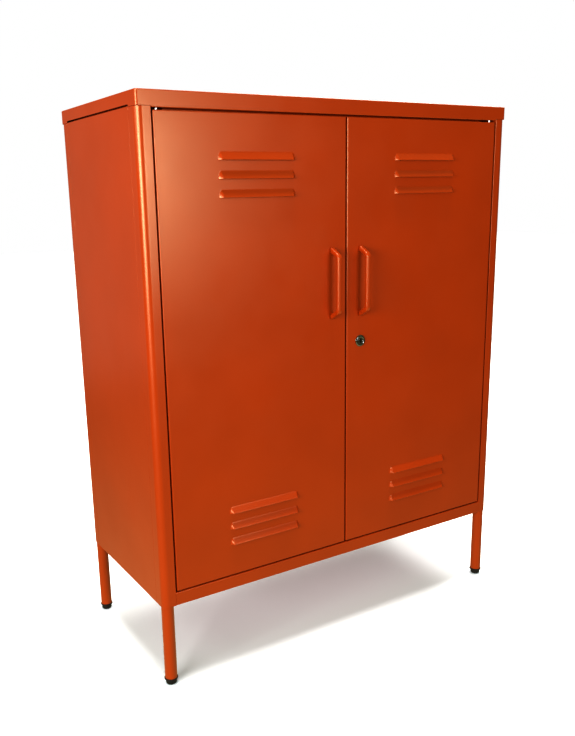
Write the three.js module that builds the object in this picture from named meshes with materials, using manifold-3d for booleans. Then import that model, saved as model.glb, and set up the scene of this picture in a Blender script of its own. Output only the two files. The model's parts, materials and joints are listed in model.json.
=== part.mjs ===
// Two-door steel locker on four round legs.
// Millimetres, +Z up. The doors face -Y. The origin is on the floor, at the middle of the
// locker's outer box, handles included.
import * as THREE from 'three';
import { mergeVertices } from 'three/addons/utils/BufferGeometryUtils.js';
import Module from 'manifold-3d';

const wasm = await Module();
wasm.setup();

// ---- driving dimensions ----
const WIDTH = 800;
const DEPTH = 350;
const HEIGHT = 1020;
const LEG_HEIGHT = 156; // floor to the underside of the carcass
const TOP_BAND = 26; // height of the cap's front band
const RAIL = 24.5; // height of the rail under the doors
const SHEET = 1; // sheet thickness
const FIT = 0.3; // gap between pieces that touch
const BEND = 1.2; // radius of a fold, at the middle of the sheet

const POST_FACE = 25; // post width seen from the front
const POST_SIDE = 30; // post width seen from the side
const POST_ROUND = 12.5; // outer corner of a post
const SLOT_PITCH = 90; // shelf clip slots

const DOOR_GAP = 3;
const DOOR_TOP_GAP = 3.5;
const DOOR_BOTTOM_GAP = 2.5;
const DOOR_THICK = 18;
const RETURN_WIDTH = 15; // folded back edge of a door
const PIVOT_IN = 12; // pivot axis, from the post into the opening
const PIVOT_BACK = 8; // pivot axis, behind the front face

const LOUVRE_LENGTH = 150;
const LOUVRE_HEIGHT = 14;
const LOUVRE_REACH = 6.5;
const LOUVRE_PITCH = 30;
const LOUVRES = 3;
const LOUVRE_MARGIN = 60; // from a door's edge to its nearest louvre

const HANDLE_X = 33; // from the middle gap
const HANDLE_REACH = 26;
const HANDLE_LENGTH = 132;
const HANDLE_BAR = 104; // straight part of the grip
const HANDLE_WIDTH = 10;
const HANDLE_THICK = 8;
const HANDLE_ABOVE_LOCK = 113;
const HANDLE_SCREW_SPAN = 118;

const LOCK_PROUD = 3; // the lock's rim, from the door's face

const BOLT_WIDTH = 7; // slide bolt on the back of the left door
const BOLT_THICK = 3;
const BOLT_LENGTH = 90.5;
const BOLT_CLEAR = 1.5; // from the drawn bolt up to the stop lip

const LEG_RADIUS = 11.2;
const LEG_WALL = 1.2;
const FOOT_HEIGHT = 12;
const SHELF_DROP = 25;
const STOP_DROP = 8; // height of the stop lip
const SHELF_LEVELS = { lower: 450, upper: 720 };

// ---- places worked out from them ----
const FRONT = -(DEPTH + HANDLE_REACH) / 2 + HANDLE_REACH;
const BACK = FRONT + DEPTH;
const SIDE = WIDTH / 2;
const OPENING_X = SIDE - POST_FACE;
const OPENING_BOTTOM = LEG_HEIGHT + RAIL;
const OPENING_TOP = HEIGHT - TOP_BAND;
const POST_TOP = OPENING_TOP + 1.9;
const PANEL_FRONT = FRONT + POST_SIDE;
const PANEL_BACK = BACK - POST_SIDE;
const DOOR_FREE = DOOR_GAP / 2;
const DOOR_HINGE = OPENING_X - DOOR_GAP;
const DOOR_LOW = OPENING_BOTTOM + DOOR_BOTTOM_GAP;
const DOOR_HIGH = OPENING_TOP - DOOR_TOP_GAP;
const DOOR_BACK = FRONT + DOOR_THICK;
const DOOR_MIDDLE_X = (DOOR_FREE + DOOR_HINGE) / 2;
const LOCK_Z = (DOOR_LOW + DOOR_HIGH) / 2;
const HANDLE_Z = LOCK_Z + HANDLE_ABOVE_LOCK;
const PIVOT_X = OPENING_X - PIVOT_IN;
const PIVOT_Y = FRONT + PIVOT_BACK;
const LEG_X = SIDE - POST_ROUND;
const LEG_FRONT_Y = FRONT + POST_ROUND;
const LEG_BACK_Y = BACK - POST_ROUND;
const LEG_SCREW_Z = LEG_HEIGHT + 12;
const STOP_Y = DOOR_BACK + FIT; // front of the stop lip behind the doors
const STOP_END = PIVOT_X - 15; // the lip ends short of the corners that swing back
const BOLT_X = -DOOR_FREE - RETURN_WIDTH / 2;
const BOLT_FRONT = STOP_Y + SHEET + FIT; // the bolt slides up behind the stop lip
const BOLT_LOW = OPENING_TOP - STOP_DROP - BOLT_CLEAR - BOLT_LENGTH;

// ---- colours ----
const finish = (color, roughness, metalness) => new THREE.MeshStandardMaterial({ color, roughness, metalness });
const ORANGE = finish(0xc8500f, 0.42, 0);
const ZINC = finish(0xc4c7c8, 0.35, 1);
const CHROME = finish(0xd8dadb, 0.15, 1);
const BLACK = finish(0x141414, 0.5, 0);
const NYLON = finish(0xe9e6dc, 0.5, 0);
const FERRITE = finish(0x3a3838, 0.7, 0.2);

// ---- solids ----
function toSolid(geometry) {
  const bare = geometry.clone();
  bare.deleteAttribute('normal');
  bare.deleteAttribute('uv');
  const merged = mergeVertices(bare, 1e-4);
  const vertProperties = new Float32Array(merged.attributes.position.array);
  const triVerts = new Uint32Array(merged.index.array);
  return new wasm.Manifold(new wasm.Mesh({ numProp: 3, vertProperties, triVerts }));
}

function toGeometry(solid) {
  const mesh = solid.getMesh();
  const geometry = new THREE.BufferGeometry();
  geometry.setAttribute('position', new THREE.BufferAttribute(mesh.vertProperties, 3));
  geometry.setIndex(new THREE.BufferAttribute(mesh.triVerts, 1));
  geometry.computeVertexNormals();
  return geometry;
}

const join = (first, ...others) => others.reduce((sum, other) => sum.add(other), first);
const cut = (first, ...others) => others.reduce((rest, other) => rest.subtract(other), first);
const mirrorX = (solid) => solid.mirror([1, 0, 0]);
const mirrorDepth = (solid) => solid.mirror([0, 1, 0]).translate([0, FRONT + BACK, 0]);

function block(x0, x1, y0, y1, z0, z1) {
  const geometry = new THREE.BoxGeometry(x1 - x0, y1 - y0, z1 - z0);
  geometry.translate((x0 + x1) / 2, (y0 + y1) / 2, (z0 + z1) / 2);
  return toSolid(geometry);
}

// A round bar along axis 'x', 'y' or 'z', from one place on that axis to another.
function bar(axis, centre, radius, from, to, sides = 24) {
  const geometry = new THREE.CylinderGeometry(radius, radius, to - from, sides);
  if (axis === 'x') geometry.rotateZ(-Math.PI / 2);
  if (axis === 'z') geometry.rotateX(Math.PI / 2);
  const middle = (from + to) / 2;
  const [a, b] = centre;
  if (axis === 'x') geometry.translate(middle, a, b);
  if (axis === 'y') geometry.translate(a, middle, b);
  if (axis === 'z') geometry.translate(a, b, middle);
  return toSolid(geometry);
}

// A turned piece: profile points [radius, height] that start and end on the axis, about Z.
function turned(profile, sides = 20) {
  const points = profile.map(([radius, height]) => new THREE.Vector2(radius, height));
  const geometry = new THREE.LatheGeometry(points, sides);
  geometry.rotateX(Math.PI / 2);
  return toSolid(geometry);
}

// A plan outline pushed up from z0 to z1.
function standing(shape, z0, z1, options = {}) {
  const settings = { depth: z1 - z0, bevelEnabled: false, ...options };
  const geometry = new THREE.ExtrudeGeometry(shape, settings);
  geometry.translate(0, 0, z0);
  return toSolid(geometry);
}

// An outline drawn in (y, z), pushed along X.
function lengthwise(shape, x0, x1, options = {}) {
  const settings = { depth: x1 - x0, bevelEnabled: false, ...options };
  const geometry = new THREE.ExtrudeGeometry(shape, settings);
  geometry.rotateX(Math.PI / 2);
  geometry.rotateZ(Math.PI / 2);
  geometry.translate(x0, 0, 0);
  return toSolid(geometry);
}

// An outline drawn in (x, z), pushed along Y.
function crosswise(shape, y0, y1) {
  const geometry = new THREE.ExtrudeGeometry(shape, { depth: y1 - y0, bevelEnabled: false, curveSegments: 5 });
  geometry.rotateX(Math.PI / 2);
  geometry.translate(0, y1, 0);
  return toSolid(geometry);
}

// A rectangle with one radius for each corner, counter-clockwise from its low corner.
function roundedRect(x0, x1, y0, y1, radii) {
  const [a, b, c, d] = radii;
  const corners = [
    [x0 + a, y0 + a, a, Math.PI],
    [x1 - b, y0 + b, b, Math.PI * 1.5],
    [x1 - c, y1 - c, c, 0],
    [x0 + d, y1 - d, d, Math.PI / 2],
  ];
  const points = [];
  for (const [x, y, radius, start] of corners) {
    const steps = radius > 8 ? 8 : 2;
    for (let k = 0; k <= steps; k += 1) {
      const angle = start + (k / steps) * (Math.PI / 2);
      points.push(new THREE.Vector2(x + radius * Math.cos(angle), y + radius * Math.sin(angle)));
    }
  }
  return new THREE.Shape(points);
}

// The section of a folded sheet. The line runs along the middle of the sheet, and each of its
// inner corners becomes a round fold.
function foldedSheet(line, thickness = SHEET, bend = BEND, steps = 2) {
  const corners = line.map(([x, y]) => new THREE.Vector2(x, y));
  const stations = [];
  const station = (point, along) => stations.push([point, new THREE.Vector2(-along.y, along.x)]);
  const direction = (from, to) => to.clone().sub(from).normalize();
  station(corners[0], direction(corners[0], corners[1]));
  for (let i = 1; i < corners.length - 1; i += 1) {
    const before = direction(corners[i - 1], corners[i]);
    const after = direction(corners[i], corners[i + 1]);
    const turn = Math.atan2(before.cross(after), before.dot(after));
    const reach = bend * Math.tan(Math.abs(turn) / 2);
    const start = corners[i].clone().addScaledVector(before, -reach);
    const side = new THREE.Vector2(-before.y, before.x).multiplyScalar(Math.sign(turn));
    const centre = start.clone().addScaledVector(side, bend);
    for (let k = 0; k <= steps; k += 1) {
      const angle = (turn * k) / steps;
      const spoke = side.clone().negate().rotateAround(new THREE.Vector2(), angle);
      const along = before.clone().rotateAround(new THREE.Vector2(), angle);
      station(centre.clone().addScaledVector(spoke, bend), along);
    }
  }
  const last = corners.length - 1;
  station(corners[last], direction(corners[last - 1], corners[last]));
  const edge = (amount) => stations.map(([point, normal]) => point.clone().addScaledVector(normal, amount));
  return new THREE.Shape([...edge(-thickness / 2), ...edge(thickness / 2).reverse()]);
}

// ---- the model's tree ----
const locker = new THREE.Group();
const carcass = new THREE.Group();
const leftDoor = new THREE.Group();
const rightDoor = new THREE.Group();
locker.add(carcass, leftDoor, rightDoor);

function place(group, name, solid, material, position = [0, 0, 0]) {
  const mesh = new THREE.Mesh(toGeometry(solid), material);
  mesh.name = name;
  mesh.position.set(...position);
  group.add(mesh);
}

// ---- carcass ----
function cornerPost() {
  const radii = [POST_ROUND, 1.5, 1.5, 1.5];
  const outline = roundedRect(-SIDE, -OPENING_X, FRONT, PANEL_FRONT, radii);
  const inner = radii.map((radius) => radius - SHEET);
  const core = roundedRect(-SIDE + SHEET, -OPENING_X - SHEET, FRONT + SHEET, PANEL_FRONT - SHEET, inner);
  const outside = standing(outline, LEG_HEIGHT, POST_TOP);
  const hollow = standing(core, LEG_HEIGHT + SHEET, POST_TOP + 1);
  const legHole = bar('z', [-LEG_X, LEG_FRONT_Y], LEG_RADIUS + 0.2, LEG_HEIGHT - 1, LEG_HEIGHT + 5, 24);
  const screwHole = bar('x', [LEG_FRONT_Y, LEG_SCREW_Z], 2.6, -OPENING_X - 3, -OPENING_X + 1, 12);
  const slots = [];
  for (let z = OPENING_BOTTOM + SLOT_PITCH; z < OPENING_TOP - SLOT_PITCH; z += SLOT_PITCH) {
    slots.push(block(-SIDE + 15, -SIDE + 23, PANEL_FRONT - 3, PANEL_FRONT + 1, z, z + 6));
  }
  for (const level of Object.values(SHELF_LEVELS)) {
    slots.push(clipSlot(level));
  }
  return cut(outside, hollow, legHole, screwHole, ...slots);
}

// The slot that a shelf clip hooks into, for a shelf whose top face is at the given height.
function clipSlot(level) {
  const z = level - SHELF_DROP;
  return block(-SIDE + 15, -SIDE + 23, PANEL_FRONT - 3, PANEL_FRONT + 1, z, z + 6);
}

function topCap() {
  const corner = [5, 5, 5, 5];
  const edge = 1.5;
  const outline = roundedRect(-SIDE + edge, SIDE - edge, FRONT + edge, BACK - edge, [3.5, 3.5, 3.5, 3.5]);
  const bevel = { bevelEnabled: true, bevelThickness: edge, bevelSize: edge, bevelSegments: 2 };
  const slab = standing(outline, OPENING_TOP - 20, HEIGHT - edge, bevel);
  const inside = corner.map((radius) => radius - SHEET);
  const core = roundedRect(-SIDE + SHEET, SIDE - SHEET, FRONT + SHEET, BACK - SHEET, inside);
  const hollow = standing(core, OPENING_TOP - 30, HEIGHT - SHEET);
  const below = block(-SIDE - 5, SIDE + 5, FRONT - 5, BACK + 5, OPENING_TOP - 30, OPENING_TOP);
  const overPosts = [];
  for (const [y0, y1] of [[FRONT - 5, PANEL_FRONT], [PANEL_BACK, BACK + 5]]) {
    overPosts.push(block(-SIDE - 5, -OPENING_X + FIT, y0, y1, OPENING_TOP - 5, POST_TOP + FIT));
    overPosts.push(block(OPENING_X - FIT, SIDE + 5, y0, y1, OPENING_TOP - 5, POST_TOP + FIT));
  }
  const shadowSlot = block(-SIDE - 5, SIDE + 5, PANEL_FRONT, PANEL_BACK, OPENING_TOP - 5, POST_TOP + 3.8);
  const rim = SHEET / 2;
  const stop = foldedSheet([
    [FRONT + rim, OPENING_TOP + 8],
    [FRONT + rim, OPENING_TOP + rim],
    [STOP_Y + rim, OPENING_TOP + rim],
    [STOP_Y + rim, OPENING_TOP - STOP_DROP],
  ]);
  const stopRail = lengthwise(stop, -OPENING_X + FIT, OPENING_X - FIT);
  const backRail = foldedSheet([[BACK - rim, OPENING_TOP + 8], [BACK - rim, OPENING_TOP + rim], [BACK - 15, OPENING_TOP + rim]]);
  const backReturn = lengthwise(backRail, -OPENING_X + FIT, OPENING_X - FIT);
  const pinHoles = [-PIVOT_X, PIVOT_X].map((x) => bar('z', [x, PIVOT_Y], 2.6, OPENING_TOP - 1, OPENING_TOP + 2, 16));
  const lipEnd = block(STOP_END, OPENING_X, STOP_Y - 2, STOP_Y + 2, OPENING_TOP - STOP_DROP - 2, OPENING_TOP);
  const tray = cut(slab, hollow, below, ...overPosts, shadowSlot);
  return cut(join(tray, stopRail, backReturn), ...pinHoles, lipEnd, mirrorX(lipEnd));
}

function bottomTray() {
  const rim = SHEET / 2;
  const rearX = OPENING_X - 1.8;
  const front = foldedSheet([
    [FRONT + 15, LEG_HEIGHT + rim],
    [FRONT + rim, LEG_HEIGHT + rim],
    [FRONT + rim, OPENING_BOTTOM - rim],
    [PANEL_FRONT + 30, OPENING_BOTTOM - rim],
  ]);
  const rear = foldedSheet([
    [PANEL_FRONT + 20, OPENING_BOTTOM - rim],
    [BACK - 1.8, OPENING_BOTTOM - rim],
    [BACK - 1.8, LEG_HEIGHT + 5],
  ]);
  const sideX = SIDE - 4.5;
  const side = foldedSheet([[OPENING_X - 20, OPENING_BOTTOM - rim], [sideX, OPENING_BOTTOM - rim], [sideX, LEG_HEIGHT + 5]]);
  const flange = crosswise(side, PANEL_FRONT + 2, PANEL_BACK - 2);
  const middle = join(lengthwise(front, -OPENING_X + FIT, OPENING_X - FIT), lengthwise(rear, -rearX, rearX));
  const pinHoles = [-PIVOT_X, PIVOT_X].map((x) => bar('z', [x, PIVOT_Y], 2.6, OPENING_BOTTOM - 2, OPENING_BOTTOM + 1, 16));
  return cut(join(middle, flange, mirrorX(flange)), ...pinHoles);
}

function sidePanel() {
  const rim = SHEET / 2;
  const x = -SIDE + rim;
  const lap = -SIDE + 12;
  const y0 = PANEL_FRONT + FIT + rim;
  const y1 = PANEL_BACK - FIT - rim;
  const plan = foldedSheet([[lap, y0], [x, y0], [x, y1], [lap, y1]]);
  const upright = standing(plan, LEG_HEIGHT, POST_TOP + 0.8);
  const edge = (low, high) => block(x, lap, y0, y1, low, high);
  const foot = edge(LEG_HEIGHT, LEG_HEIGHT + SHEET);
  const head = edge(POST_TOP + 0.8 - SHEET, POST_TOP + 0.8);
  return join(upright, foot, head);
}

function backPanel() {
  const rim = SHEET / 2;
  const x = OPENING_X - FIT - rim;
  const y = BACK - rim;
  const plan = foldedSheet([[-x, y - 6], [-x, y], [x, y], [x, y - 6]]);
  return standing(plan, LEG_HEIGHT, OPENING_TOP - FIT);
}

const legTube = cut(
  bar('z', [0, 0], LEG_RADIUS, FOOT_HEIGHT + FIT, LEG_HEIGHT + 54, 24),
  bar('z', [0, 0], LEG_RADIUS - LEG_WALL, 0, LEG_HEIGHT + 60, 24),
);

// A leg with the hole for its screw, which faces +X or -X.
function leg(facing) {
  const [near, far] = facing > 0 ? [5, LEG_RADIUS + 1] : [-LEG_RADIUS - 1, -5];
  return cut(legTube, bar('x', [0, LEG_SCREW_Z], 2.6, near, far, 12));
}

// Pan head screw with its head on the positive side of the given axis place.
const panScrew = (headRadius, headHeight, shankRadius, length) =>
  turned([
    [0, -length],
    [shankRadius, -length],
    [shankRadius, 0],
    [headRadius, 0],
    [headRadius * 0.8, headHeight * 0.8],
    [0, headHeight],
  ], 12);

const glideFoot = turned([
  [0, 0],
  [8.3, 0],
  [9.8, 2],
  [10.1, FOOT_HEIGHT - 2.6],
  [12.4, FOOT_HEIGHT - 2.2],
  [12.4, FOOT_HEIGHT],
  [9.6, FOOT_HEIGHT],
  [9.6, FOOT_HEIGHT + 22],
  [0, FOOT_HEIGHT + 22],
], 16);

function shelf() {
  const rim = SHEET / 2;
  const rearX = OPENING_X - 1.8;
  const sideX = SIDE - 4.5;
  const frontY = PANEL_FRONT + 2.5;
  const front = foldedSheet([
    [frontY + 12, -SHELF_DROP + rim],
    [frontY, -SHELF_DROP + rim],
    [frontY, -rim],
    [frontY + 60, -rim],
  ]);
  const rear = foldedSheet([[frontY + 50, -rim], [BACK - 2.3, -rim], [BACK - 2.3, -SHELF_DROP]]);
  const side = foldedSheet([
    [rearX - 40, -rim],
    [sideX, -rim],
    [sideX, -SHELF_DROP + rim],
    [sideX - 12, -SHELF_DROP + rim],
  ]);
  const wing = crosswise(side, frontY - rim, PANEL_BACK - 2);
  const frontEdge = lengthwise(front, -rearX, rearX);
  return join(frontEdge, lengthwise(rear, -rearX, rearX), wing, mirrorX(wing));
}

// Hook, back plate and ledge of a clip, in (y, z), measured from the post's inner wall and from
// the underside of the shelf. The hook drops behind the post's wall.
function shelfClip() {
  const strip = foldedSheet([[-2.6, -3], [-2.6, 3], [1.2, 3], [1.2, -1.3], [13, -1.3]], 1.4, 1, 2);
  return lengthwise(strip, -3.5, 3.5);
}

// ---- doors, drawn on the right ----
function louvreForm(wall) {
  const radius = LOUVRE_HEIGHT - wall;
  const geometry = new THREE.CapsuleGeometry(radius, LOUVRE_LENGTH - 2 * LOUVRE_HEIGHT, 3, 16);
  geometry.rotateZ(Math.PI / 2);
  geometry.scale(1, (LOUVRE_REACH - wall) / radius, 1);
  return toSolid(geometry);
}

// Heights of the lower lips of a door's louvres.
function louvreLips() {
  const lips = [];
  for (let i = 0; i < LOUVRES; i += 1) {
    lips.push(DOOR_HIGH - LOUVRE_MARGIN - LOUVRE_HEIGHT - i * LOUVRE_PITCH);
    lips.push(DOOR_LOW + LOUVRE_MARGIN + i * LOUVRE_PITCH);
  }
  return lips;
}

function doorPan() {
  const edge = 1.8;
  const face = roundedRect(DOOR_FREE + edge, DOOR_HINGE - edge, DOOR_LOW + edge, DOOR_HIGH - edge, [0.2, 0.2, 0.2, 0.2]);
  const bevel = { bevelEnabled: true, bevelThickness: edge, bevelSize: edge, bevelSegments: 2 };
  const geometry = new THREE.ExtrudeGeometry(face, { depth: DOOR_THICK, ...bevel });
  geometry.rotateX(Math.PI / 2);
  geometry.translate(0, FRONT + DOOR_THICK + edge, 0);
  const behind = block(-5, SIDE, DOOR_BACK, DOOR_BACK + 20, DOOR_LOW - 5, DOOR_HIGH + 5);
  const cavity = block(
    DOOR_FREE + SHEET, DOOR_HINGE - SHEET, FRONT + SHEET, DOOR_BACK - SHEET, DOOR_LOW + SHEET, DOOR_HIGH - SHEET,
  );
  const open = RETURN_WIDTH;
  const mouth = block(
    DOOR_FREE + open, DOOR_HINGE - open, DOOR_BACK - 3, DOOR_BACK + 3, DOOR_LOW + open + 3, DOOR_HIGH - open - 3,
  );
  return cut(toSolid(geometry), behind, cavity, mouth);
}

function doorPanel(locked) {
  const hoods = [];
  const vents = [];
  const outer = louvreForm(0);
  const inner = louvreForm(SHEET);
  for (const lip of louvreLips()) {
    const at = [DOOR_MIDDLE_X, FRONT, lip];
    const above = block(DOOR_FREE + 5, DOOR_HINGE - 5, FRONT - 20, FRONT + SHEET / 2, lip, lip + 20);
    const through = block(DOOR_FREE + 5, DOOR_HINGE - 5, FRONT - 20, FRONT + 5, lip - 0.01, lip + 20);
    hoods.push(outer.translate(at).intersect(above));
    vents.push(inner.translate(at).intersect(through));
  }
  const bushHoles = [[DOOR_LOW - 2, DOOR_LOW + 3], [DOOR_HIGH - 3, DOOR_HIGH + 2]].map(([low, high]) =>
    bar('z', [PIVOT_X, PIVOT_Y], 4.35, low, high, 16));
  const screwHoles = handleScrewHeights().map((z) => bar('y', [HANDLE_X, z], 2.5, FRONT - 2, FRONT + 4, 12));
  const lockHole = locked ? [bar('y', [HANDLE_X, LOCK_Z], 9.4, FRONT - 2, FRONT + 4, 24)] : [];
  return cut(join(doorPan(), ...hoods), ...vents, ...bushHoles, ...screwHoles, ...lockHole);
}

const handleScrewHeights = () => [HANDLE_Z - HANDLE_SCREW_SPAN / 2, HANDLE_Z + HANDLE_SCREW_SPAN / 2];

function doorStiffener() {
  const seat = FRONT + SHEET + 0.8;
  const crown = seat + 11;
  const hat = foldedSheet([
    [DOOR_MIDDLE_X - 30, seat],
    [DOOR_MIDDLE_X - 15, seat],
    [DOOR_MIDDLE_X - 15, crown],
    [DOOR_MIDDLE_X + 15, crown],
    [DOOR_MIDDLE_X + 15, seat],
    [DOOR_MIDDLE_X + 30, seat],
  ], 0.8);
  const margin = LOUVRE_MARGIN + LOUVRES * LOUVRE_PITCH;
  return standing(hat, DOOR_LOW + margin, DOOR_HIGH - margin);
}

// Bridge handle, drawn in (y, z) about its own middle: two slanted ends and a straight grip.
function bridgeHandle() {
  const half = HANDLE_LENGTH / 2;
  const grip = HANDLE_BAR / 2;
  const edge = 1.6;
  const foot = 10;
  const base = FRONT - FIT;
  const top = FRONT - HANDLE_REACH;
  const under = top + HANDLE_THICK;
  const ring = new THREE.Shape();
  ring.moveTo(base - edge, -half + edge);
  ring.lineTo(top + 6, -grip - 3.5);
  ring.quadraticCurveTo(top + edge, -grip - 0.5, top + edge, -grip + 5);
  ring.lineTo(top + edge, grip - 5);
  ring.quadraticCurveTo(top + edge, grip + 0.5, top + 6, grip + 3.5);
  ring.lineTo(base - edge, half - edge);
  ring.lineTo(base - edge, half - foot);
  ring.lineTo(under + 3, grip - 3);
  ring.quadraticCurveTo(under - edge, grip - 6, under - edge, grip - 10);
  ring.lineTo(under - edge, -grip + 10);
  ring.quadraticCurveTo(under - edge, -grip + 6, under + 3, -grip + 3);
  ring.lineTo(base - edge, -half + foot);
  const bevel = { bevelEnabled: true, bevelThickness: edge, bevelSize: edge, bevelSegments: 1, curveSegments: 3 };
  const body = lengthwise(ring, -HANDLE_WIDTH / 2 + edge, HANDLE_WIDTH / 2 - edge, bevel);
  const holes = [-1, 1].map((end) => bar('y', [0, (end * HANDLE_SCREW_SPAN) / 2], 2.2, base - 8, base + 2, 12));
  return cut(body, ...holes);
}

const pivotPin = (collar) =>
  turned([
    [0, -16],
    [2.4, -16],
    ...(collar > 0 ? [[2.4, -collar], [3.2, -collar], [3.2, -FIT], [2.4, -FIT]] : []),
    [2.4, SHEET + FIT],
    [4.5, SHEET + FIT],
    [4, SHEET + FIT + 2],
    [0, SHEET + FIT + 2],
  ], 12);

const pivotBush = cut(
  turned([[0, 0], [4, 0], [4, -SHEET - FIT], [6, -SHEET - FIT], [6, -SHEET - 1.8], [5, -SHEET - 4], [0, -SHEET - 4]].reverse(), 14),
  bar('z', [0, 0], 2.65, -10, 5, 14),
);

// ---- lock, about its own axis; -Y faces the user ----
const facingUser = (solid) => solid.rotate([90, 0, 0]);

const lockBody = facingUser(
  cut(
    turned([
      [0, -17.6],
      [9, -17.6],
      [9, FIT],
      [11, FIT],
      [11, LOCK_PROUD - 1.6],
      [9.8, LOCK_PROUD - 0.3],
      [7.4, LOCK_PROUD],
      [0, LOCK_PROUD],
    ], 24),
    bar('z', [0, 0], 6.3, -30, 20, 24),
  ),
);

const lockNut = facingUser(cut(bar('z', [0, 0], 13, -SHEET - FIT - 4, -SHEET - FIT, 6), bar('z', [0, 0], 9.35, -20, 5, 24)));

const PLUG_SHOULDER = -18.5;
const CAM_FRONT = -18.8;
const CAM_THICK = 2;

const lockPlug = facingUser(
  cut(
    join(bar('z', [0, 0], 6, PLUG_SHOULDER, LOCK_PROUD - 0.6, 24), block(-3, 3, -3, 3, CAM_FRONT - CAM_THICK, PLUG_SHOULDER + 1)),
    block(-0.9, 0.9, -3.6, 3.6, -4, 6),
    bar('z', [0, 0], 1.7, CAM_FRONT - 10, CAM_FRONT + 4, 12),
  ),
);

function lockCam() {
  const reach = 44;
  const outline = new THREE.Shape();
  outline.moveTo(-8, 0);
  outline.absarc(0, 0, 8, Math.PI, 0, true);
  outline.lineTo(6, -reach + 4);
  outline.absarc(2, -reach + 4, 4, 0, -Math.PI / 2, true);
  outline.lineTo(-2, -reach);
  outline.absarc(-2, -reach + 4, 4, -Math.PI / 2, -Math.PI, true);
  const plate = crosswise(outline, -CAM_FRONT, -CAM_FRONT + CAM_THICK);
  return cut(plate, block(-3.3, 3.3, -CAM_FRONT - 1, -CAM_FRONT + CAM_THICK + 1, -3.3, 3.3));
}

// ---- catches and bolt ----
function catchCase() {
  const outside = block(-22, 22, STOP_Y + SHEET + FIT, STOP_Y + 17, OPENING_TOP - 26, OPENING_TOP - FIT);
  const pocket = block(-18.3, 18.3, STOP_Y - 2, STOP_Y + 8, OPENING_TOP - 23.3, OPENING_TOP - 10.7);
  return cut(outside, pocket);
}

const catchMagnet = () => block(-18, 18, STOP_Y + 0.2, STOP_Y + 7.7, OPENING_TOP - 23, OPENING_TOP - 11);

function doorBolt() {
  const half = BOLT_WIDTH / 2;
  const strip = block(-half, half, BOLT_FRONT, BOLT_FRONT + BOLT_THICK, BOLT_LOW, BOLT_LOW + BOLT_LENGTH);
  const tab = block(-half, half, BOLT_FRONT + 1, BOLT_FRONT + 17, BOLT_LOW + 8, BOLT_LOW + 12);
  return join(strip, tab);
}

// Hat that holds the bolt against the door's folded back edge.
function boltGuide() {
  const wall = 0.8;
  const seat = DOOR_BACK + FIT + wall / 2;
  const crown = BOLT_FRONT + BOLT_THICK + FIT + wall / 2;
  const side = BOLT_WIDTH / 2 + FIT + wall / 2;
  const foot = RETURN_WIDTH / 2 - FIT;
  const line = [[-foot, seat], [-side, seat], [-side, crown], [side, crown], [side, seat], [foot, seat]];
  return standing(foldedSheet(line, wall, wall, 2), BOLT_LOW + 28, BOLT_LOW + 58);
}

// ---- everything in its place ----
place(carcass, 'top_cap', topCap(), ORANGE);
place(carcass, 'bottom_tray', bottomTray(), ORANGE);
place(carcass, 'left_side_panel', sidePanel(), ORANGE);
place(carcass, 'right_side_panel', mirrorX(sidePanel()), ORANGE);
place(carcass, 'back_panel', backPanel(), ORANGE);

const post = cornerPost();
const clip = shelfClip();
const legScrew = panScrew(4.5, 2.8, 2.3, 9);
for (const [row, toRow, legY, inward] of [
  ['front', (solid) => solid, LEG_FRONT_Y, 1],
  ['rear', mirrorDepth, LEG_BACK_Y, -1],
]) {
  for (const [hand, toHand, sign] of [['left', (solid) => solid, -1], ['right', mirrorX, 1]]) {
    const corner = `${row}_${hand}`;
    place(carcass, `${corner}_post`, toHand(toRow(post)), ORANGE);
    place(carcass, `${corner}_leg`, leg(-sign), ORANGE, [sign * LEG_X, legY, 0]);
    place(carcass, `${corner}_foot`, glideFoot, BLACK, [sign * LEG_X, legY, 0]);
    const screwX = sign * (OPENING_X - FIT);
    place(carcass, `${corner}_leg_screw`, legScrew.rotate([0, -sign * 90, 0]), ZINC, [screwX, legY, LEG_SCREW_Z]);
    for (const [name, level] of Object.entries(SHELF_LEVELS)) {
      const wallY = inward > 0 ? PANEL_FRONT : PANEL_BACK;
      const turnedClip = inward > 0 ? clip : clip.mirror([0, 1, 0]);
      const clipX = sign * (SIDE - 19);
      place(carcass, `${name}_clip_${corner}`, turnedClip, ZINC, [clipX, wallY, level - SHELF_DROP]);
    }
  }
}
for (const [name, level] of Object.entries(SHELF_LEVELS)) {
  place(carcass, `${name}_shelf`, shelf(), ORANGE, [0, 0, level]);
}

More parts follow.
